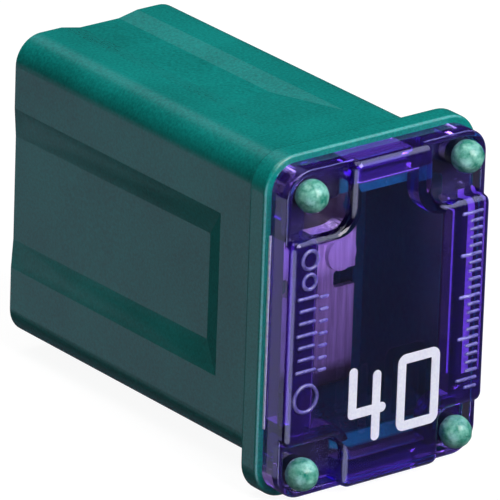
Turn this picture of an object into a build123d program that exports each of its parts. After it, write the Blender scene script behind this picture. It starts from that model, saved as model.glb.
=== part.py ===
# Micro female fuse, in millimetres.
# A moulded housing holds a folded strip: two socket terminals joined by a fusible link.
# A clear cover closes the link's chamber. Four pins of the housing pass through the cover
# and are formed over into ball-shaped heads.
# The fuse lies on its narrow side: X is across, the cover looks towards -Y, blades enter
# from +Y, and Z runs up the long side of the face. The origin is under its middle.
import os
from math import hypot

from build123d import *

os.makedirs("parts", exist_ok=True)

# Housing, outside
flange_width = 11.25
flange_height = 15.4
flange_thickness = 1.1
flange_corner = 1.5
flange_edge = 0.16
side_overhang = 1.15  # flange beyond the body's broad sides
end_overhang = 0.77  # flange beyond the body's narrow sides
body_corner = 1.3
body_root = 0.2  # fillet where the body meets the flange
select_margin = 0.01  # slack when edges are picked by their place
housing_depth = 19.0  # front of the flange to the terminal end

# Shallow recesses, open at the terminal end: two on the broad sides, two on the narrow sides
broad_recess_mouth = 7.4
broad_recess_floor = 4.8
broad_recess_start = 4.4
broad_recess_ramp = 1.0
broad_recess_depth = 0.26
broad_recess_end_depth = 0.09
narrow_recess_mouth = 4.1
narrow_recess_floor = 2.1
narrow_recess_start = 4.5
narrow_recess_ramp = 3.8
narrow_recess_depth = 0.2
overrun = 0.5  # how far a cutter passes a face that it leaves open

# Housing, inside
chamber_side_wall = 0.78
chamber_end_wall = 1.5
chamber_depth = 5.2
chamber_corner = 0.4
divider_thickness = 1.2
end_wall = 1.2
blade_mouth_clearance = 0.1
blade_mouth_height = 1.4
blade_mouth_chamfer = 0.35

# Pins of the housing and their ball-shaped heads
pin_side_inset = 1.48  # from the flange's edges to the middle of a pin
pin_end_inset = 1.43
pin_radius = 0.55
pin_clearance = 0.05
head_radius = 0.74
head_rise = 0.76  # floor of the pocket to the middle of the ball
neck_radius = 0.64

# Cover
cover_margin = 0.32  # flange face left bare around the cover
pad_thickness = 1.6
rim_height = 1.08  # of the low wall around the outer side of each pocket
rim_thickness = 0.28
pocket_floor = 0.47
window_thickness = 0.8
window_side_wall = 1.57
window_end_wall = 1.07
window_recess_corner = 0.3
cover_edge = 0.14

# Pockets in the cover's corners, their inner walls measured from the cover's edges
pocket_wall = 0.55
pocket_overrun = 0.25
pocket_reach = 3.16
upper_pocket_drop = 2.91
lower_pocket_rise = 2.52
pocket_corner = 0.9
number_pocket_reach = 2.27  # the pocket beside the number is smaller
number_pocket_rise = 2.38
number_pocket_corner = 0.45

# Rating number, printed on the cover
ink_thickness = 0.03
digit_stroke = 0.44
zero_width = 1.82  # widths and heights run between the middles of the strokes
zero_height = 3.05
zero_corner = 0.2
zero_x = 1.66
digit_top = -2.07  # above the middle of the face
four_left_x = -1.87
four_right_x = -0.59
four_left_height = 1.89
four_right_drop = 0.37
four_right_height = 2.75
four_bar_overhang = 0.3

# Folded strip
blade_width = 4.8
blade_thickness = 0.8
sheet = 0.3
link_end_clearance = 0.33  # between the bends of the link and the chamber's end walls
socket_side_clearance = 0.1
socket_length = 8.3
socket_corner = 0.25
curl_radius = 1.35
curl_clearance = 0.05  # the curl's free end stands clear of the blade by this, at rest
strap_width = 3.6
strap_bend = 0.7
link_setback = 3.6  # front of the flange to the middle of the link
waist_width = 1.3
waist_height = 0.8
waist_corner = 0.2
rivet_offset = 0.9
rivet_rise = 1.2
rivet_radius = 0.4
rivet_head_radius = 0.75
rivet_head_thickness = 0.25

# Spring clips around the sockets
clip_sheet = 0.25
clip_length = 4.5
clip_setback = 2.0  # from the socket's mouth
clip_gap = 1.6
clip_side_clearance = 0.05

# Places that follow from the sizes
mid_z = flange_height / 2
head_top = pocket_floor + head_rise + head_radius
front_y = head_top - (head_top + housing_depth) / 2
end_y = front_y + housing_depth
cell_front_y = front_y + chamber_depth
socket_mouth_y = end_y - end_wall
link_y = front_y + link_setback
socket_width = blade_width + 2 * (socket_side_clearance + sheet)
base_rise = blade_thickness / 2 + sheet / 2  # blade's middle to the middle of the base sheet
curl_rise = blade_thickness / 2 + curl_clearance
cell_width = socket_width + 2 * (clip_sheet + clip_side_clearance)
body_width = flange_width - 2 * side_overhang
body_height = flange_height - 2 * end_overhang
chamber_width = body_width - 2 * chamber_side_wall
chamber_height = body_height - 2 * chamber_end_wall
blade_pitch = chamber_height - blade_thickness - 2 * (sheet + link_end_clearance)
cell_outer = blade_pitch / 2 + blade_thickness / 2 + sheet + clip_sheet
cell_inner = divider_thickness / 2
pin_spacing_x = flange_width - 2 * pin_side_inset
pin_spacing_z = flange_height - 2 * pin_end_inset
cover_width = flange_width - 2 * cover_margin
cover_height = flange_height - 2 * cover_margin
cover_corner = flange_corner - cover_margin
window_recess_width = cover_width - 2 * window_side_wall
window_recess_height = cover_height - 2 * window_end_wall
pockets = (  # side across, side up, reach inwards across and up, corner
    (-1, 1, pocket_reach, upper_pocket_drop, pocket_corner),
    (1, 1, pocket_reach, upper_pocket_drop, pocket_corner),
    (-1, -1, pocket_reach, lower_pocket_rise, pocket_corner),
    (1, -1, number_pocket_reach, number_pocket_rise, number_pocket_corner),
)


def facing(y):
    """Plane across the fuse at depth y, seen from the cover side."""
    return Plane(origin=(0, y, mid_z), x_dir=(1, 0, 0), z_dir=(0, -1, 0))


def socket_plane(side, y):
    """Plane across a socket, its y axis from the base sheet towards the fuse's middle."""
    blade_z = mid_z + side * blade_pitch / 2
    return Plane(origin=(0, y, blade_z), x_dir=(side, 0, 0), z_dir=(0, 1, 0))


def cut_recess(outward, distance, mouth, floor, start, ramp, depth, end_depth):
    """Cut a tapered recess into the side that lies at distance along outward."""
    origin = Vector(0, front_y, mid_z) + Vector(*outward) * distance
    surface = Plane(origin=origin, x_dir=(0, 1, 0), z_dir=outward)
    reach = housing_depth + overrun
    run = reach - start - ramp
    floor_start = surface.from_local_coords((start + ramp, 0, -depth))
    floor_end = surface.from_local_coords((reach, 0, -end_depth))
    along = floor_end - floor_start
    bottom = Plane(origin=floor_start, x_dir=along, z_dir=along.cross(surface.y_dir))
    with BuildSketch(surface) as mouth_outline:
        with Locations(((start + reach) / 2, 0)):
            Rectangle(reach - start, mouth)
    with BuildSketch(bottom) as floor_outline:
        floor_length = hypot(run, depth - end_depth)
        with Locations((floor_length / 2, 0)):
            Rectangle(floor_length, floor)
    outlines = [mouth_outline.sketch.face(), floor_outline.sketch.face()]
    loft(outlines, ruled=True, mode=Mode.SUBTRACT)


def draw_pockets(wall, mode):
    """Draw the four pockets in the open sketch, grown inwards by wall."""
    outer_x = cover_width / 2 + pocket_overrun
    outer_z = cover_height / 2 + pocket_overrun
    for side_x, side_z, reach_x, reach_z, corner in pockets:
        width = reach_x + pocket_overrun + wall
        height = reach_z + pocket_overrun + wall
        with Locations((side_x * (outer_x - width / 2), side_z * (outer_z - height / 2))):
            RectangleRounded(width, height, corner + wall, mode=mode)


# Housing
with BuildPart() as housing:
    with BuildSketch(facing(front_y)):
        RectangleRounded(flange_width, flange_height, flange_corner)
    extrude(amount=-flange_thickness)
    flange_rims = housing.edges().group_by(Axis.Y)
    fillet(flange_rims[0] + flange_rims[-1], flange_edge)

    with BuildSketch(facing(front_y + flange_thickness)):
        RectangleRounded(body_width, body_height, body_corner)
    extrude(amount=flange_thickness - housing_depth)
    body_start = housing.edges().filter_by_position(
        Axis.Y, front_y + flange_thickness - select_margin,
        front_y + flange_thickness + select_margin
    )
    fillet([edge for edge in body_start
            if abs(edge.center().X) < body_width / 2 + select_margin
            and abs(edge.center().Z - mid_z) < body_height / 2 + select_margin], body_root)

    broad = (broad_recess_mouth, broad_recess_floor, broad_recess_start, broad_recess_ramp,
             broad_recess_depth, broad_recess_end_depth)
    narrow = (narrow_recess_mouth, narrow_recess_floor, narrow_recess_start,
              narrow_recess_ramp, narrow_recess_depth, narrow_recess_depth)
    for side in (-1, 1):
        cut_recess((side, 0, 0), body_width / 2, *broad)
        cut_recess((0, 0, side), body_height / 2, *narrow)

    with BuildSketch(facing(front_y)):
        RectangleRounded(chamber_width, chamber_height, chamber_corner)
    extrude(amount=-chamber_depth, mode=Mode.SUBTRACT)

    with BuildSketch(facing(cell_front_y)):
        with GridLocations(0, cell_outer + cell_inner, 1, 2):
            Rectangle(cell_width, cell_outer - cell_inner)
    extrude(amount=cell_front_y - socket_mouth_y, mode=Mode.SUBTRACT)

    with BuildSketch(facing(socket_mouth_y)):
        with GridLocations(0, blade_pitch, 1, 2):
            Rectangle(blade_width + 2 * blade_mouth_clearance, blade_mouth_height)
    extrude(amount=-end_wall, mode=Mode.SUBTRACT)
    end_face = housing.faces().sort_by(Axis.Y)[-1]
    chamfer(end_face.inner_wires().edges(), blade_mouth_chamfer)

    with BuildSketch(facing(front_y)):
        with GridLocations(pin_spacing_x, pin_spacing_z, 2, 2):
            Circle(pin_radius)
    extrude(amount=pocket_floor)
    with BuildSketch(facing(front_y - pocket_floor)):
        with GridLocations(pin_spacing_x, pin_spacing_z, 2, 2):
            Circle(neck_radius)
    extrude(amount=head_rise)
    with Locations(facing(front_y - pocket_floor - head_rise)):
        with GridLocations(pin_spacing_x, pin_spacing_z, 2, 2):
            Sphere(head_radius)

housing.part.label = "housing"
export_step(housing.part, "parts/housing.step")

# Cover
with BuildPart() as cover:
    with BuildSketch(facing(front_y)):
        RectangleRounded(cover_width, cover_height, cover_corner)
    extrude(amount=pad_thickness)

    with BuildSketch(facing(front_y - rim_height)):
        draw_pockets(0, Mode.ADD)
    extrude(amount=pad_thickness - rim_height, mode=Mode.SUBTRACT)
    fillet(cover.faces().sort_by(Axis.Y)[0].edges(), cover_edge)

    with BuildSketch(facing(front_y - pocket_floor)):
        draw_pockets(0, Mode.ADD)
        RectangleRounded(cover_width - 2 * rim_thickness, cover_height - 2 * rim_thickness,
                         cover_corner - rim_thickness, mode=Mode.INTERSECT)
    extrude(amount=rim_height - pocket_floor, mode=Mode.SUBTRACT)

    with BuildSketch(facing(front_y)):
        RectangleRounded(window_recess_width, window_recess_height, window_recess_corner)
        draw_pockets(pocket_wall, Mode.SUBTRACT)
    extrude(amount=pad_thickness - window_thickness, mode=Mode.SUBTRACT)

    with BuildSketch(facing(front_y)):
        with GridLocations(pin_spacing_x, pin_spacing_z, 2, 2):
            Circle(pin_radius + pin_clearance)
    extrude(amount=pocket_floor, mode=Mode.SUBTRACT)

cover.part.label = "cover"
export_step(cover.part, "parts/cover.step")

# Rating number
with BuildPart() as rating_digits:
    with BuildSketch(facing(front_y - pad_thickness)):
        with Locations((zero_x, digit_top - zero_height / 2)):
            RectangleRounded(zero_width + digit_stroke, zero_height + digit_stroke,
                             zero_corner + digit_stroke / 2)
            Rectangle(zero_width - digit_stroke, zero_height - digit_stroke, mode=Mode.SUBTRACT)
        four_foot = digit_top - four_left_height
        bar_length = four_right_x - four_left_x + four_bar_overhang
        with Locations((four_left_x, digit_top - four_left_height / 2)):
            SlotCenterToCenter(four_left_height, digit_stroke, rotation=90)
        with Locations((four_left_x + bar_length / 2, four_foot)):
            SlotCenterToCenter(bar_length, digit_stroke)
        with Locations((four_right_x, digit_top - four_right_drop - four_right_height / 2)):
            SlotCenterToCenter(four_right_height, digit_stroke, rotation=90)
    extrude(amount=ink_thickness)

rating_digits.part.label = "rating_digits"
export_step(rating_digits.part, "parts/rating_digits.step")

# Folded strip: socket, link, socket
with BuildPart() as fuse_element:
    for side in (-1, 1):
        with BuildSketch(socket_plane(side, socket_mouth_y - socket_length)) as section:
            curl_spread = socket_width - 2 * curl_radius
            with Locations((0, curl_rise)):
                with GridLocations(curl_spread, 0, 2, 1):
                    Circle(curl_radius)
                with GridLocations(curl_spread, 0, 2, 1):
                    Circle(curl_radius - sheet, mode=Mode.SUBTRACT)
            with Locations((0, curl_rise - curl_radius / 2)):
                Rectangle(socket_width, curl_radius, mode=Mode.SUBTRACT)
            wall_height = blade_thickness / 2 + sheet + curl_rise
            with Locations((0, curl_rise - wall_height / 2)):
                Rectangle(socket_width, wall_height)
            fillet(section.vertices().group_by(Axis.Y)[0], socket_corner)
            blade_room = blade_thickness / 2 + curl_rise
            with Locations((0, curl_rise - blade_room / 2)):
                Rectangle(socket_width - 2 * sheet, blade_room, mode=Mode.SUBTRACT)
        extrude(amount=socket_length)

    with BuildSketch(Plane.YZ):
        with BuildLine():
            base_z = blade_pitch / 2 + base_rise
            strap_end_y = socket_mouth_y - socket_length + overrun
            FilletPolyline(
                (strap_end_y, mid_z + base_z), (link_y, mid_z + base_z),
                (link_y, mid_z - base_z), (strap_end_y, mid_z - base_z),
                radius=strap_bend,
            )
        trace(line_width=sheet)
    extrude(amount=strap_width / 2, both=True)

    with BuildSketch(facing(link_y)):
        notch = (strap_width - waist_width) / 2 + overrun
        with GridLocations(waist_width + notch, 0, 2, 1):
            RectangleRounded(notch, waist_height, waist_corner)
        with Locations((rivet_offset, rivet_rise)):
            Circle(rivet_radius)
    extrude(amount=sheet, both=True, mode=Mode.SUBTRACT)

fuse_element.part.label = "fuse_element"
export_step(fuse_element.part, "parts/fuse_element.step")

# Tin rivet in the link
with BuildPart() as link_rivet:
    for face, direction in ((link_y - sheet / 2, 1), (link_y + sheet / 2, -1)):
        with BuildSketch(facing(face)):
            with Locations((rivet_offset, rivet_rise)):
                Circle(rivet_head_radius)
        extrude(amount=direction * rivet_head_thickness)
    with BuildSketch(facing(link_y)):
        with Locations((rivet_offset, rivet_rise)):
            Circle(rivet_radius)
    extrude(amount=sheet / 2, both=True)

link_rivet.part.label = "link_rivet"
export_step(link_rivet.part, "parts/link_rivet.step")

# Spring clips
for name, side in (("upper_spring_clip", 1), ("lower_spring_clip", -1)):
    with BuildPart() as spring_clip:
        clip_end_y = socket_mouth_y - clip_setback
        with BuildSketch(socket_plane(side, clip_end_y - clip_length)) as section:
            low = -blade_thickness / 2 - sheet
            high = curl_rise + curl_radius
            with Locations((0, (low + high) / 2)):
                RectangleRounded(socket_width + 2 * clip_sheet, high - low + 2 * clip_sheet,
                                 clip_sheet + socket_corner)
                RectangleRounded(socket_width, high - low, socket_corner, mode=Mode.SUBTRACT)
            with Locations((0, high)):
                Rectangle(clip_gap, 2 * clip_sheet + socket_corner, mode=Mode.SUBTRACT)
        extrude(amount=clip_length)
    spring_clip.part.label = name
    export_step(spring_clip.part, f"parts/{name}.step")
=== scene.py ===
# Micro female fuse: materials, clear cover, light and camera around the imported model
from math import cos, pi, radians, sin

import bmesh
import bpy
from mathutils import Matrix, Vector, noise as fieldNoise


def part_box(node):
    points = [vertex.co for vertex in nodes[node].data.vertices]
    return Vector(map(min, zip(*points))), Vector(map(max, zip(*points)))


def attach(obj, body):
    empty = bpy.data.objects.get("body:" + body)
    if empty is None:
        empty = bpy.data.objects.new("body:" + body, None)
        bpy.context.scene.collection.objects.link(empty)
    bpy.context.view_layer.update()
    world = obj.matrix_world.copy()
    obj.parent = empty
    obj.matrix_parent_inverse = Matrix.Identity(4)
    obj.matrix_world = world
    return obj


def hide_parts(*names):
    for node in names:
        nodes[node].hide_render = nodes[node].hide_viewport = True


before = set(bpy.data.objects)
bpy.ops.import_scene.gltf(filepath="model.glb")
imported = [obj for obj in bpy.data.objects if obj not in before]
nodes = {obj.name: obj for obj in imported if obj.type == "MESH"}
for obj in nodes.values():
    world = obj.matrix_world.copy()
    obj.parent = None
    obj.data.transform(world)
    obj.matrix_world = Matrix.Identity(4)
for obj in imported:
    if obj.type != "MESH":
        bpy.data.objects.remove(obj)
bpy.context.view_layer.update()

mm = 0.001

coverLow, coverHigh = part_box("cover")
midZ = (coverLow.z + coverHigh.z) / 2
faceY = coverHigh.y  # front of the flange, where the cover rests

print("frame loaded:", sorted(nodes))


# Mesh helpers: outlines lie across the fuse in mm, depth counts forward from the flange
def roundedOutline(centreX, centreZ, width, height, radius, steps=8):
    points = []
    for turn, (signX, signZ) in enumerate(((1, 1), (-1, 1), (-1, -1), (1, -1))):
        cornerX = centreX + signX * (width / 2 - radius)
        cornerZ = centreZ + signZ * (height / 2 - radius)
        for step in range(steps + 1):
            angle = (turn + step / steps) * pi / 2
            points.append((cornerX + radius * cos(angle), cornerZ + radius * sin(angle)))
    return points


def circleOutline(centreX, centreZ, radius, steps=40):
    return [(centreX + radius * cos(2 * pi * step / steps),
             centreZ + radius * sin(2 * pi * step / steps)) for step in range(steps)]


def pieceFrom(build, name):
    mesh = bpy.data.meshes.new(name)
    build.to_mesh(mesh)
    build.free()
    piece = bpy.data.objects.new(name, mesh)
    bpy.context.scene.collection.objects.link(piece)
    return piece


def stack(name, levels):
    # closed piece through outlines with as many points each, at their own depths
    build = bmesh.new()
    rings = [[build.verts.new((x * mm, faceY - depth * mm, midZ + z * mm)) for x, z in outline]
             for outline, depth in levels]
    build.faces.new(rings[0])
    build.faces.new(list(reversed(rings[-1])))
    for near, far in zip(rings, rings[1:]):
        for index in range(len(near)):
            follow = (index + 1) % len(near)
            build.faces.new((near[follow], near[index], far[index], far[follow]))
    bmesh.ops.recalc_face_normals(build, faces=build.faces)
    return pieceFrom(build, name)


def prism(name, outline, nearDepth, farDepth):
    return stack(name, [(outline, nearDepth), (outline, farDepth)])


def quarter(steps=4):
    # across and along a quarter round, from its side to its top
    return [(1 - cos(step / steps * pi / 2), sin(step / steps * pi / 2))
            for step in range(steps + 1)]


def settle(piece):
    # keeps what the modifiers have made of the piece
    depsgraph = bpy.context.evaluated_depsgraph_get()
    mesh = bpy.data.meshes.new_from_object(piece.evaluated_get(depsgraph))
    piece.modifiers.clear()
    piece.data = mesh


def combine(piece, others, operation):
    for other in others:
        cut = piece.modifiers.new("combine", "BOOLEAN")
        cut.operation = operation
        cut.solver = "EXACT"
        cut.object = other
    settle(piece)
    for other in others:
        bpy.data.objects.remove(other)
    return piece


def shadeByAngle(piece, degrees):
    limit = radians(degrees)
    build = bmesh.new()
    build.from_mesh(piece.data)
    for face in build.faces:
        face.smooth = True
    for edge in build.edges:
        edge.smooth = len(edge.link_faces) == 2 and edge.calc_face_angle(0) < limit
    build.to_mesh(piece.data)
    build.free()
    evened = piece.modifiers.new("evened", "WEIGHTED_NORMAL")
    evened.keep_sharp = True


# Node helpers
def newMaterial(name):
    material = bpy.data.materials.new(name)
    material.use_nodes = True
    tree = material.node_tree
    tree.nodes.clear()
    output = tree.nodes.new("ShaderNodeOutputMaterial")
    return material, tree, output


def addNode(tree, kind, inputs=None, **settings):
    node = tree.nodes.new(kind)
    for key, value in settings.items():
        setattr(node, key, value)
    for key, value in (inputs or {}).items():
        if isinstance(value, bpy.types.NodeSocket):
            tree.links.new(value, node.inputs[key])
        else:
            node.inputs[key].default_value = value
    return node


def calc(tree, operation, *values):
    node = addNode(tree, "ShaderNodeMath", dict(enumerate(values)), operation=operation)
    return node.outputs[0]


def vectorCalc(tree, operation, *values):
    node = addNode(tree, "ShaderNodeVectorMath", dict(enumerate(values)), operation=operation)
    return node.outputs["Value" if operation in ("LENGTH", "DOT_PRODUCT") else "Vector"]


def mapRange(tree, value, start, end, low=0.0, high=1.0):
    node = addNode(tree, "ShaderNodeMapRange", {"Value": value, "From Min": start, "From Max": end,
                                                "To Min": low, "To Max": high})
    return node.outputs[0]


def axis(tree, vector, name):
    return addNode(tree, "ShaderNodeSeparateXYZ", {"Vector": vector}).outputs[name]


def bumped(tree, texture, strength, height):
    bump = addNode(tree, "ShaderNodeBump", {"Height": texture.outputs["Fac"], "Strength": strength,
                                            "Distance": height})
    return bump.outputs["Normal"]


def srgb(red, green, blue):
    def linear(value):
        value /= 255
        return value / 12.92 if value <= 0.04045 else ((value + 0.055) / 1.055) ** 2.4
    return (linear(red), linear(green), linear(blue), 1.0)


def objectPoint(tree):
    return addNode(tree, "ShaderNodeTexCoord").outputs["Object"]


def noise(tree, point, scale, detail=2.0, roughness=0.5):
    return addNode(tree, "ShaderNodeTexNoise", {"Vector": point, "Scale": scale, "Detail": detail,
                                                "Roughness": roughness})


def ramp(tree, factor, stops):
    stops = list(stops)
    node = addNode(tree, "ShaderNodeValToRGB", {"Fac": factor})
    elements = node.color_ramp.elements
    while len(elements) < len(stops):
        elements.new(0.5)
    for element, (position, color) in zip(elements, stops):
        element.position = position
        element.color = color
    return node


def speckledMaterial(name, look):
    # dull, in two shades: speckle is the grain's size, stops the ends of its shades
    material, tree, output = newMaterial(name)
    speckle = noise(tree, objectPoint(tree), look["speckle"], 2.0)
    color = ramp(tree, speckle.outputs["Fac"], look["stops"])
    shader = addNode(tree, "ShaderNodeBsdfPrincipled",
                     {"Base Color": color.outputs["Color"], **look["finish"]})
    tree.links.new(shader.outputs["BSDF"], output.inputs["Surface"])
    return material


# Housing: moulded green plastic with a fine grain and painted shade where the cover sits and in
# the chamber, its heads melted and paler
housingLook = {
    "deep": srgb(0, 108, 102),
    "pale": srgb(10, 142, 135),
    "shadeEnds": (0.36, 0.64),
    "cloudSize": 260,
    "grainSize": 8000,
    "grainShare": 0.6,
    "grainStrength": 0.35,
    "grainHeight": 0.012 * mm,
    "roughness": 0.26,
    "specular": 0.5,
    # painted shade: the flange face under the cover and the chamber behind it are mixed toward
    # this dark colour
    "seatShadeColor": srgb(14, 24, 40),
    "seatCorner": 1.18,
    "seatMargin": 0.02,
    "seatFade": 0.04,
    "seatDepth": 0.1,
    "greenMiddle": (2.0, 6.0),  # reach across and up of the part of the seat that stays green
    "greenShift": 0.7,
    "greenFade": 0.15,
    "chamberHalf": (3.73, 5.47),
    "chamberDepths": (0.1, 6.0),
    "chamberShade": 0.62,
    "headDeep": srgb(8, 122, 104),
    "headPale": srgb(136, 204, 188),
    "headEnds": (0.32, 0.68),
    "headPatch": 2600,
    "headGrain": 9000,
    "headGrainStrength": 0.3,
    "headGrainHeight": 0.01 * mm,
    "headRoughness": 0.26,
    "pocketDepth": 0.47,
    "headRise": 0.76,
    "headRadius": 0.74,
    "headInset": (1.16, 1.11),
    "headMatch": 0.01,  # share of the radius within which a corner belongs to a head
    "blisterDepth": 0.035,
    "blisterSize": 0.3,
    "blisterDetail": 2.7,
    "blisterDetailShare": 0.35,
    "smoothAngle": 32,
}


def seatShade(tree, point, look):
    # painted shade: 1 where the cover is bonded to the flange, less inside the chamber, 0
    # elsewhere
    corner, margin = look["seatCorner"], look["seatMargin"]
    away = vectorCalc(tree, "ABSOLUTE", vectorCalc(tree, "ADD", point, (0, 0, -midZ)))
    straight = (coverHigh.x - corner * mm, 1, coverHigh.z - midZ - corner * mm)
    arm = vectorCalc(tree, "MAXIMUM", vectorCalc(tree, "SUBTRACT", away, straight), (0, 0, 0))
    under = mapRange(tree, vectorCalc(tree, "LENGTH", arm),
                     (corner - margin - look["seatFade"]) * mm, (corner - margin) * mm, 1.0, 0.0)
    along = axis(tree, point, "Y")
    front = mapRange(tree, along, faceY + margin * mm, faceY + look["seatDepth"] * mm, 1.0, 0.0)
    across = calc(tree, "SUBTRACT", axis(tree, point, "X"), look["greenShift"] * mm)
    across = calc(tree, "ABSOLUTE", across)
    around = [mapRange(tree, value, half * mm, (half + look["greenFade"]) * mm)
              for value, half in zip((across, axis(tree, away, "Z")), look["greenMiddle"])]
    coveredSeatShade = calc(tree, "MULTIPLY", calc(tree, "MULTIPLY", under, front),
                  calc(tree, "MAXIMUM", *around))
    near, far = (faceY + depth * mm for depth in look["chamberDepths"])
    halfX, halfZ = (half * mm for half in look["chamberHalf"])
    chamber = look["chamberShade"]
    for within in (calc(tree, "GREATER_THAN", along, near), calc(tree, "LESS_THAN", along, far),
                   calc(tree, "LESS_THAN", axis(tree, away, "X"), halfX),
                   calc(tree, "LESS_THAN", axis(tree, away, "Z"), halfZ)):
        chamber = calc(tree, "MULTIPLY", chamber, within)
    return calc(tree, "MAXIMUM", coveredSeatShade, chamber)


def housingMaterial(look):
    material, tree, output = newMaterial("greenPlastic")
    point = objectPoint(tree)
    cloud = noise(tree, point, look["cloudSize"], 4.0)
    grain = noise(tree, point, look["grainSize"], 3.0, 0.6)
    shade = addNode(tree, "ShaderNodeMix", {"Factor": look["grainShare"],
                                            "A": cloud.outputs["Fac"], "B": grain.outputs["Fac"]})
    color = ramp(tree, shade.outputs["Result"],
                 zip(look["shadeEnds"], (look["deep"], look["pale"])))
    # mixes the painted shade of the seat and chamber into the green
    seatShadedColor = addNode(tree, "ShaderNodeMix", {
        "Factor": seatShade(tree, point, look), "A": color.outputs["Color"],
        "B": look["seatShadeColor"]}, data_type="RGBA")
    shader = addNode(tree, "ShaderNodeBsdfPrincipled", {
        "Base Color": seatShadedColor.outputs["Result"], "Roughness": look["roughness"],
        "Specular IOR Level": look["specular"],
        "Normal": bumped(tree, grain, look["grainStrength"], look["grainHeight"])})
    tree.links.new(shader.outputs["BSDF"], output.inputs["Surface"])
    return material


def headMaterial(look):
    material, tree, output = newMaterial("meltedPlastic")
    point = objectPoint(tree)
    patch = noise(tree, point, look["headPatch"], 5.0, 0.62)
    color = ramp(tree, patch.outputs["Fac"],
                 zip(look["headEnds"], (look["headDeep"], look["headPale"])))
    fine = noise(tree, point, look["headGrain"], 3.0)
    shader = addNode(tree, "ShaderNodeBsdfPrincipled", {
        "Base Color": color.outputs["Color"], "Roughness": look["headRoughness"],
        "Normal": bumped(tree, fine, look["headGrainStrength"], look["headGrainHeight"])})
    tree.links.new(shader.outputs["BSDF"], output.inputs["Surface"])
    return material


def blister(arm, spot, look):
    # pushes a corner of a head in, by two sizes of bumps
    radius = look["headRadius"] * mm
    dent = 0.5 + 0.5 * fieldNoise.noise(spot)
    dent += look["blisterDetailShare"] * (
        0.5 + 0.5 * fieldNoise.noise(spot * look["blisterDetail"]))
    return arm.normalized() * (radius - dent * look["blisterDepth"] * mm)


def dressHousing(look):
    source = nodes["housing"]
    build = bmesh.new()
    build.from_mesh(source.data)
    build.transform(source.matrix_world)
    insetX, insetZ = look["headInset"]
    headX = coverHigh.x - insetX * mm
    headZ = coverHigh.z - midZ - insetZ * mm
    headY = faceY - (look["pocketDepth"] + look["headRise"]) * mm
    radius = look["headRadius"] * mm
    match = look["headMatch"] * radius
    for sideX in (-1, 1):
        for sideZ in (-1, 1):
            middle = Vector((sideX * headX, headY, midZ + sideZ * headZ))
            shell = [face for face in build.faces
                     if all(abs((vert.co - middle).length - radius) < match
                            for vert in face.verts)]
            edges = {edge for face in shell for edge in face.edges}
            bmesh.ops.subdivide_edges(build, edges=list(edges), cuts=2, use_grid_fill=True)
            for vert in build.verts:
                arm = vert.co - middle
                if abs(arm.length - radius) < 3 * match:
                    vert.co = middle + blister(arm, vert.co / (look["blisterSize"] * mm), look)
            for face in build.faces:
                if (face.calc_center_median() - middle).length < radius + 2 * match:
                    face.material_index = 1
    piece = pieceFrom(build, "dressedHousing")
    shadeByAngle(piece, look["smoothAngle"])
    piece.data.materials.append(housingMaterial(look))
    piece.data.materials.append(headMaterial(look))
    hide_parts("housing")
    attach(piece, "root")


dressHousing(housingLook)
print("housing done")


# Cover: clear violet plastic, with plain raised marks on both sides of the pad
coverLook = {
    "corner": 1.18,
    "pad": 1.6,
    "padCorner": 0.42,
    "padRound": 0.36,
    "padRoot": 0.1,
    "rim": 1.08,
    "rimThickness": 0.28,
    "rimRound": 0.08,
    "pocketFloor": 0.47,
    "floorRound": 0.1,
    "pocketWall": 0.55,
    "pockets": (  # sides across and up, reaches across and up, radius of the inner corner
        (-1, 1, 3.16, 2.91, 0.9),
        (1, 1, 3.16, 2.91, 0.9),
        (-1, -1, 3.16, 2.52, 0.9),
        (1, -1, 2.27, 2.38, 0.45),
    ),
    "skin": 0.8,
    "skinRound": 0.12,
    "windowSideWall": 1.57,
    "windowEndWall": 1.07,
    "windowCorner": 0.3,
    "pinHole": 0.6,
    "pinInset": (1.16, 1.11),
    "lift": 0.02,
    "overrun": 0.25,  # how far the cutters pass the sides, the back and the front
    "backCut": 0.2,
    "frontCut": 0.3,
    "hair": 0.004,  # keeps walls that lie in one plane apart while cutting
    "smoothAngle": 32,
    "color": (0.44, 0.1, 0.88, 1.0),
    "density": 1000,
    "ior": 1.52,
    "roughness": 0.02,
    "rippleSize": 600,
    "rippleStrength": 0.2,
    "rippleHeight": 0.004 * mm,
    "veilColor": srgb(84, 46, 190),
    "veil": 0.065,
    "thinVeil": 0.008,
    "veilFade": 0.1,
    "weld": {  # the frosted lines at the left and right
        "widths": {-1: 0.22, 1: 0.36},
        "insets": {-1: -0.06, 1: 0.24},
        "depths": {-1: 0.1, 1: 0.15},
        "halves": {-1: 4.35, 1: 3.9},
        "corner": 0.03,
        "share": 0.8,  # of the lift: what lies deeper than this is a weld
        "jut": 0.01,  # past the left side: so is this
        "speckle": 5000,
        "stops": ((0.3, srgb(214, 208, 244)), (0.6, srgb(246, 245, 255))),
        "finish": {"Roughness": 0.7},
    },
    "marks": {
        "height": 0.09,
        "width": 0.17,
        "foot": 0.7,  # share of the height that stands in the pad
        "sink": 0.01,
        "slim": 0.8,  # the most of the width that the rounded top gives up
        "scale": {"end": 4.85, "top": 3.85, "pitch": 0.38, "rows": 22, "long": 1.15,
                  "short": 0.7, "group": 5},
        "pairs": {"outer": -4.45, "inner": -3.6, "top": 1.9, "pitch": 0.55, "rows": 7,
                  "long": 1.1, "short": 0.9, "group": 3, "stub": 0.5, "drop": 0.1},
        "rings": ((-4.4, 3.6, 0.4), (-4.4, 2.62, 0.33), (-4.4, -2.65, 0.6)),
        "edge": 0.008,  # past the pad: what lies further out is a mark
        "speckle": 7000,
        "stops": ((0.35, srgb(84, 72, 190)), (0.65, srgb(150, 138, 232))),
        "finish": {"Roughness": 0.3, "IOR": 1.52, "Transmission Weight": 0.6},
    },
}
coverWidth = (coverHigh.x - coverLow.x) / mm
coverHeight = (coverHigh.z - coverLow.z) / mm


def faceOutline(look, inset):
    return roundedOutline(0, 0, coverWidth - 2 * inset, coverHeight - 2 * inset,
                          look["corner"] - inset, 10)


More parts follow.
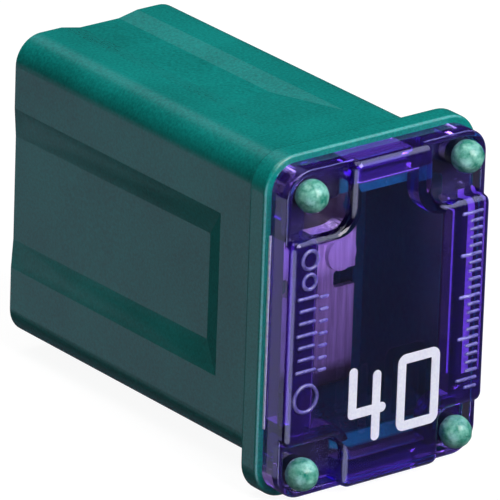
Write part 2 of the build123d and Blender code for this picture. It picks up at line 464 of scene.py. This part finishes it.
def pocketOutline(look, pocket, grow):
    sideX, sideZ, reachX, reachZ, corner = pocket
    halfX = coverWidth / 2 + look["overrun"]
    halfZ = coverHeight / 2 + look["overrun"]
    width = reachX + look["overrun"] + grow
    height = reachZ + look["overrun"] + grow
    return roundedOutline(sideX * (halfX - width / 2), sideZ * (halfZ - height / 2),
                          width, height, corner + grow)


def arcPoints(centreX, centreZ, radius, start, end, steps):
    angles = [radians(start + (end - start) * step / steps) for step in range(steps + 1)]
    return [(centreX + radius * cos(angle), centreZ + radius * sin(angle)) for angle in angles]


def padOutline(look, inset):
    # the face with a hollow step at each corner, anticlockwise from the right
    halfX, halfZ, corner = coverWidth / 2, coverHeight / 2, look["padCorner"]
    points = []
    for index in (1, 0, 2, 3):
        sideX, sideZ, reachX, reachZ, hollow = look["pockets"][index]
        wallX, wallZ = halfX - reachX, halfZ - reachZ
        bend = arcPoints(halfX - corner, wallZ - corner, corner - inset, 0, 90, 5)
        bend += arcPoints(wallX + hollow, wallZ + hollow, hollow + inset, 270, 180, 9)
        bend += arcPoints(wallX - corner, halfZ - corner, corner - inset, 0, 90, 5)
        if sideX * sideZ < 0:
            bend.reverse()
        points += [(sideX * x, sideZ * z) for x, z in bend]
    return points


def roundedOff(outline, look, low, top, width, spread=0):
    # levels of a plate with its front edge rounded
    levels = [(outline(look, width * across - spread), top - width * (1 - along))
              for across, along in quarter()]
    return [(levels[0][0], low)] + levels


def pocketCutter(look):
    # deep part of the pockets: rounded into the floor and over the rim
    rim, low = look["rim"], look["pocketFloor"]
    inner, over, into = look["rimThickness"], look["rimRound"], look["floorRound"]
    levels = [(faceOutline(look, inner + into * across), low + into * (1 - along))
              for across, along in reversed(quarter())]
    levels += [(faceOutline(look, inner - over * across), rim - over * (1 - along))
               for across, along in quarter()]
    levels.append((faceOutline(look, inner - over), rim + look["frontCut"]))
    return levels


def markPlaces(look):
    # plain ticks like the divisions of a scale: x, z and length
    scale, pairs = look["scale"], look["pairs"]
    places = []
    for row in range(scale["rows"]):
        length = scale["short"] if row % scale["group"] else scale["long"]
        places.append((scale["end"] - length / 2, scale["top"] - row * scale["pitch"], length))
    for row in range(pairs["rows"]):
        z = pairs["top"] - row * pairs["pitch"]
        length = pairs["short"] if row % pairs["group"] else pairs["long"]
        places.append((pairs["outer"], z, length))
        places.append((pairs["inner"], z - pairs["drop"], pairs["stub"]))
    return places


def tickMark(look, pad, x, z, length):
    # a bar with a rounded top, its foot inside the pad
    thick = look["width"]
    levels = []
    for across, along in [(0, -look["foot"])] + quarter(3):
        trim = min(across, look["slim"]) * thick
        levels.append((roundedOutline(x, z, length - trim, thick - trim, (thick - trim) / 2, 3),
                       pad - look["sink"] + along * look["height"]))
    return stack("mark", levels)


def ringMark(look, pad, x, z, radius):
    # a round bead along a circle, its lower half inside the pad
    build = bmesh.new()
    turns, sides = 40, 10
    rings = []
    for turn in range(turns):
        angle = 2 * pi * turn / turns
        ring = []
        for side in range(sides):
            tilt = 2 * pi * side / sides
            reach = radius + look["width"] / 2 * cos(tilt)
            depth = pad + look["height"] * sin(tilt)
            ring.append(build.verts.new(((x + reach * cos(angle)) * mm, faceY - depth * mm,
                                         midZ + (z + reach * sin(angle)) * mm)))
        rings.append(ring)
    for turn in range(turns):
        here, there = rings[turn], rings[(turn + 1) % turns]
        for side in range(sides):
            follow = (side + 1) % sides
            build.faces.new((here[side], here[follow], there[follow], there[side]))
    bmesh.ops.recalc_face_normals(build, faces=build.faces)
    return pieceFrom(build, "mark")


def buildCover(look):
    pad, low = look["pad"], look["pocketFloor"]
    hair, back = look["hair"], look["backCut"]
    plate = roundedOff(faceOutline, look, look["lift"], look["rim"], look["rimRound"])
    raised = roundedOff(padOutline, look, look["padRoot"], pad, look["padRound"], hair)
    body = combine(stack("clearCover", plate), [stack("raised", raised)], "UNION")
    cuts = []
    for pocket in look["pockets"]:
        deep = stack("deep", pocketCutter(look))
        within = prism("within", pocketOutline(look, pocket, -hair), 0, pad + 1)
        cuts.append(combine(deep, [within], "INTERSECT"))
    insetX, insetZ = look["windowSideWall"], look["windowEndWall"]
    over = look["skinRound"]
    levels = [(roundedOutline(0, 0, coverWidth - 2 * (insetX + over * across),
                              coverHeight - 2 * (insetZ + over * across),
                              look["windowCorner"] - over * across, 5),
               pad - look["skin"] - over * (1 - along)) for across, along in quarter()]
    levels.insert(0, (levels[0][0], -back))
    window = stack("window", levels)
    walls = [prism("wall", pocketOutline(look, pocket, look["pocketWall"]), -2 * back, pad)
             for pocket in look["pockets"]]
    cuts.append(combine(window, walls, "DIFFERENCE"))
    insetX, insetZ = look["pinInset"]
    for sideX in (-1, 1):
        for sideZ in (-1, 1):
            hole = circleOutline(sideX * (coverWidth / 2 - insetX),
                                 sideZ * (coverHeight / 2 - insetZ), look["pinHole"])
            cuts.append(prism("hole", hole, -back, low + back / 2))
    combine(body, cuts, "DIFFERENCE")
    weld, marks = look["weld"], look["marks"]
    added = []
    for side in (-1, 1):
        wide = weld["widths"][side]
        middle = side * (coverWidth / 2 - wide / 2 - weld["insets"][side])
        line = roundedOutline(middle, 0, wide, 2 * weld["halves"][side], weld["corner"], 4)
        added.append(prism("weld", line, hair, weld["depths"][side]))
    added += [tickMark(marks, pad, *place) for place in markPlaces(marks)]
    added += [ringMark(marks, pad, *place) for place in marks["rings"]]
    combine(body, added, "UNION")
    shadeByAngle(body, look["smoothAngle"])
    return body


def coverMaterial(look):
    material, tree, output = newMaterial("violetClear")
    point = objectPoint(tree)
    ripple = noise(tree, point, look["rippleSize"], 1.0)
    shader = addNode(tree, "ShaderNodeBsdfPrincipled", {
        "Base Color": (1, 1, 1, 1), "Roughness": look["roughness"], "IOR": look["ior"],
        "Transmission Weight": 1.0,
        "Normal": bumped(tree, ripple, look["rippleStrength"], look["rippleHeight"])})
    volume = addNode(tree, "ShaderNodeVolumeAbsorption", {"Color": look["color"],
                                                          "Density": look["density"]})
    # the plastic is faintly milky, less so where the window is thin
    away = vectorCalc(tree, "ABSOLUTE", vectorCalc(tree, "ADD", point, (0, 0, -midZ)))
    fade = look["veilFade"] * mm
    edges = []
    for name, inset, size in (("X", look["windowSideWall"], coverWidth),
                              ("Z", look["windowEndWall"], coverHeight)):
        wall = (size / 2 - inset) * mm
        edges.append(mapRange(tree, axis(tree, away, name), wall - fade, wall + fade))
    veil = mapRange(tree, calc(tree, "MAXIMUM", *edges), 0, 1, look["thinVeil"], look["veil"])
    milk = addNode(tree, "ShaderNodeBsdfDiffuse", {"Color": look["veilColor"]})
    both = addNode(tree, "ShaderNodeMixShader", {0: veil, 1: shader.outputs[0],
                                                 2: milk.outputs[0]})
    tree.links.new(both.outputs[0], output.inputs["Surface"])
    tree.links.new(volume.outputs["Volume"], output.inputs["Volume"])
    return material


def dressCover(look):
    cover = buildCover(look)
    weld, marks = look["weld"], look["marks"]
    cover.data.materials.clear()
    cover.data.materials.append(coverMaterial(look))
    cover.data.materials.append(speckledMaterial("frostedWeld", weld))
    cover.data.materials.append(speckledMaterial("frostedMark", marks))
    for face in cover.data.polygons:
        depth = (faceY - face.center.y) / mm
        outside = face.center.x < coverLow.x - weld["jut"] * mm
        if depth < weld["share"] * look["lift"] or outside:
            face.material_index = 1
        elif depth > look["pad"] + marks["edge"]:
            face.material_index = 2
    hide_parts("cover")
    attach(cover, "root")
    print("cover faces", len(cover.data.polygons))


dressCover(coverLook)
print("cover done")


# Printed number and metal inside: a table of heights from the middle and shares of the colour
# paints shade and highlight along the height
innerLooks = {
    "rating_digits": {
        "speckle": 9000,
        "stops": ((0.3, srgb(226, 227, 246)), (0.7, srgb(238, 239, 252))),
        "finish": {"Roughness": 0.6},
    },
    "fuse_element": {
        "color": srgb(250, 249, 246),
        "roughness": 0.4,
        "metallic": 0.3,
        "streaks": 6000,
        # painted shade toward both ends of the strip, a painted highlight band from 1.0 to 1.9 mm
        "paintedLightAndShade": ((-4.2, 0.05), (-3.7, 0.4), (0.2, 0.45), (1.0, 1.0), (1.9, 1.0), (2.35, 0.05)),
    },
    "link_rivet": {
        "color": srgb(248, 248, 250),
        "roughness": 0.4,
        "metallic": 0.3,
        "streaks": 3000,
        # painted shade at the bottom and top of the rivet, brightest at 2.6 mm
        "paintedLightAndShade": ((-3.4, 0.3), (2.6, 1.0), (3.2, 0.06)),
    },
    "upper_spring_clip": {
        "color": srgb(160, 162, 166),
        "roughness": 0.3,
        "metallic": 1.0,
        "streaks": 5000,
        "paintedLightAndShade": ((-6, 1), (6, 1)),
    },
}
metalLook = {
    "stretch": (1.0, 1.0, 0.08),
    "streakShade": 0.6,
    "streakStops": (0.35, 0.65),
    "streakStrength": 0.5,
    "streakHeight": 0.01 * mm,
    "shadeReach": 6,
}


def metalMaterial(name, look):
    material, tree, output = newMaterial(name)
    point = objectPoint(tree)
    stretch = addNode(tree, "ShaderNodeMapping", {"Vector": point, "Scale": metalLook["stretch"]})
    lines = noise(tree, stretch.outputs["Vector"], look["streaks"], 3.0)
    dark = tuple(part * metalLook["streakShade"] for part in look["color"][:3]) + (1.0,)
    shade = ramp(tree, lines.outputs["Fac"], zip(metalLook["streakStops"], (dark, look["color"])))
    reach = metalLook["shadeReach"]
    # painted shade and highlight: the colour is scaled by the share at each height
    height = mapRange(tree, axis(tree, point, "Z"), midZ - reach * mm, midZ + reach * mm)
    shares = ramp(tree, height, [((z + reach) / (2 * reach), (share, share, share, 1.0))
                                 for z, share in look["paintedLightAndShade"]])
    heightShadedColor = vectorCalc(tree, "MULTIPLY", shade.outputs["Color"], shares.outputs["Color"])
    shader = addNode(tree, "ShaderNodeBsdfPrincipled", {
        "Base Color": heightShadedColor, "Metallic": look["metallic"], "Roughness": look["roughness"],
        "Normal": bumped(tree, lines, metalLook["streakStrength"], metalLook["streakHeight"])})
    tree.links.new(shader.outputs["BSDF"], output.inputs["Surface"])
    return material


innerMaterials = {
    "rating_digits": speckledMaterial("whiteInk", innerLooks["rating_digits"]),
    "fuse_element": metalMaterial("platedStrip", innerLooks["fuse_element"]),
    "link_rivet": metalMaterial("dullTin", innerLooks["link_rivet"]),
    "upper_spring_clip": metalMaterial("springSteel", innerLooks["upper_spring_clip"]),
}
innerMaterials["lower_spring_clip"] = innerMaterials["upper_spring_clip"]
for name, material in innerMaterials.items():
    nodes[name].data.materials.clear()
    nodes[name].data.materials.append(material)

print("inner pieces done")


# Floor and light
studio = {
    "floorSize": 4.0,
    "floorGlow": 0.93,
    "floorShares": (0.04, 0.6),
    "floorFade": (-0.002, 0.012),
    "floorTone": 0.14,
    "worldLevel": 0.03,
    "cards": (  # way, angles of full and no light in degrees, level
        ((-0.578, 0.725, -0.373), 4, 11, 0.78),
        ((0.2, 0.7, 0.68), 5, 20, 0.5),
        ((0, -0.3, -1), 30, 75, 0.18),
        ((0.578, -0.381, 0.733), 22, 40, 3.2),
        ((-0.735, -0.588, -0.373), 20, 40, 3.2),
    ),
    "cardColor": (0.92, 0.97, 1.3, 1.0),
    "lamps": {
        "keyLamp": {"way": (0.12, -0.75, 0.65), "distance": 0.45, "size": 0.3, "power": 2.4,
                    "lights": ("diffuse", "glossy")},
        "topLamp": {"way": (-0.2, 0.1, 0.95), "distance": 0.45, "size": 0.35, "power": 0.95,
                    "lights": ("diffuse", "glossy")},
        "innerLamp": {"way": (0.1, -1, 0.05), "distance": 0.45, "size": 0.3, "power": 6.5,
                      "lights": ("transmission",)},  # reaches what lies behind the cover
    },
}


def buildFloor(settings):
    half = settings["floorSize"] / 2
    mesh = bpy.data.meshes.new("floor")
    mesh.from_pydata([(-half, -half, 0), (half, -half, 0), (half, half, 0), (-half, half, 0)],
                     [], [(0, 1, 2, 3)])
    floor = bpy.data.objects.new("floor", mesh)
    bpy.context.scene.collection.objects.link(floor)
    material, tree, output = newMaterial("paleFloor")
    path = addNode(tree, "ShaderNodeLightPath")
    mirrored = calc(tree, "MAXIMUM", path.outputs["Is Glossy Ray"],
                    path.outputs["Is Transmission Ray"])
    # gloss and glass see the floor bright on one side and dark on the other
    away = vectorCalc(tree, "DOT_PRODUCT", objectPoint(tree), (-1, 0, 0))
    level = mapRange(tree, away, *settings["floorFade"], *settings["floorShares"])
    share = calc(tree, "MULTIPLY", mirrored, level)
    seen = calc(tree, "MAXIMUM", path.outputs["Is Camera Ray"], share)
    glow = calc(tree, "MULTIPLY", seen, settings["floorGlow"])
    hidden = calc(tree, "SUBTRACT", mirrored, share)
    tone = mapRange(tree, hidden, 0, 1, settings["floorTone"], 0)
    paint = addNode(tree, "ShaderNodeBsdfDiffuse", {"Color": tone})
    light = addNode(tree, "ShaderNodeEmission", {"Color": (1, 1, 1, 1), "Strength": glow})
    both = addNode(tree, "ShaderNodeAddShader", {0: paint.outputs[0], 1: light.outputs[0]})
    tree.links.new(both.outputs[0], output.inputs["Surface"])
    mesh.materials.append(material)
    floor.visible_glossy = False


def buildWorld(settings):
    world = bpy.data.worlds.new("softRoom")
    bpy.context.scene.world = world
    world.use_nodes = True
    tree = world.node_tree
    tree.nodes.clear()
    path = addNode(tree, "ShaderNodeLightPath")
    way = addNode(tree, "ShaderNodeTexCoord").outputs["Generated"]
    shine = path.outputs["Is Glossy Ray"]
    total = settings["worldLevel"]
    for place, inner, outer, gain in settings["cards"]:
        facing = vectorCalc(tree, "DOT_PRODUCT", way, Vector(place).normalized())
        card = mapRange(tree, facing, cos(radians(outer)), cos(radians(inner)), 0, gain)
        total = calc(tree, "ADD", total, calc(tree, "MULTIPLY", card, shine))
    level = calc(tree, "MAXIMUM", total, path.outputs["Is Camera Ray"])
    tint = addNode(tree, "ShaderNodeMix", {"Factor": shine, "A": (1, 1, 1, 1),
                                           "B": settings["cardColor"]}, data_type="RGBA")
    sky = addNode(tree, "ShaderNodeBackground", {"Color": tint.outputs["Result"],
                                                 "Strength": level})
    output = addNode(tree, "ShaderNodeOutputWorld")
    tree.links.new(sky.outputs[0], output.inputs["Surface"])


def addLamp(name, way, distance, size, power, lights):
    data = bpy.data.lights.new(name, "AREA")
    data.shape = "SQUARE"
    data.size = size
    data.energy = power
    lamp = bpy.data.objects.new(name, data)
    for kind in ("diffuse", "glossy", "transmission"):
        setattr(lamp, "visible_" + kind, kind in lights)
    direction = Vector(way).normalized()
    lamp.location = Vector((0, 0, midZ)) + direction * distance
    lamp.rotation_mode = "QUATERNION"
    lamp.rotation_quaternion = direction.to_track_quat("Z", "Y")
    bpy.context.scene.collection.objects.link(lamp)


buildFloor(studio)
buildWorld(studio)
for name, lamp in studio["lamps"].items():
    addLamp(name, **lamp)

print("studio done")


# Camera
cameraPlace = {
    "azimuth": -38.57,
    "elevation": 21.92,
    "roll": -2.024,
    "target": (-0.12 * mm, -1.515 * mm, midZ),
    "distance": 373.27 * mm,
    "sensor": 36.0,
    "lens": 631.1232,
    "shift": (-0.024, 0.0086),
    "clip": (0.01, 10.0),
}


def buildCamera(settings):
    azimuth, elevation, roll = (radians(settings[key]) for key in ("azimuth", "elevation", "roll"))
    back = Vector((sin(azimuth) * cos(elevation), -cos(azimuth) * cos(elevation), sin(elevation)))
    levelUp = (Vector((0, 0, 1)) - back * back.z).normalized()
    levelRight = levelUp.cross(back)
    right = levelRight * cos(roll) - levelUp * sin(roll)
    up = levelRight * sin(roll) + levelUp * cos(roll)
    data = bpy.data.cameras.new("camera")
    data.sensor_width = settings["sensor"]
    data.lens = settings["lens"]
    data.shift_x, data.shift_y = settings["shift"]
    data.clip_start, data.clip_end = settings["clip"]
    camera = bpy.data.objects.new("camera", data)
    place = Vector(settings["target"]) + back * settings["distance"]
    turn = Matrix((right, up, back)).transposed().to_4x4()
    camera.matrix_world = Matrix.Translation(place) @ turn
    bpy.context.scene.collection.objects.link(camera)
    bpy.context.scene.camera = camera


buildCamera(cameraPlace)
bpy.context.scene.view_settings.view_transform = "Standard"

print("camera done")
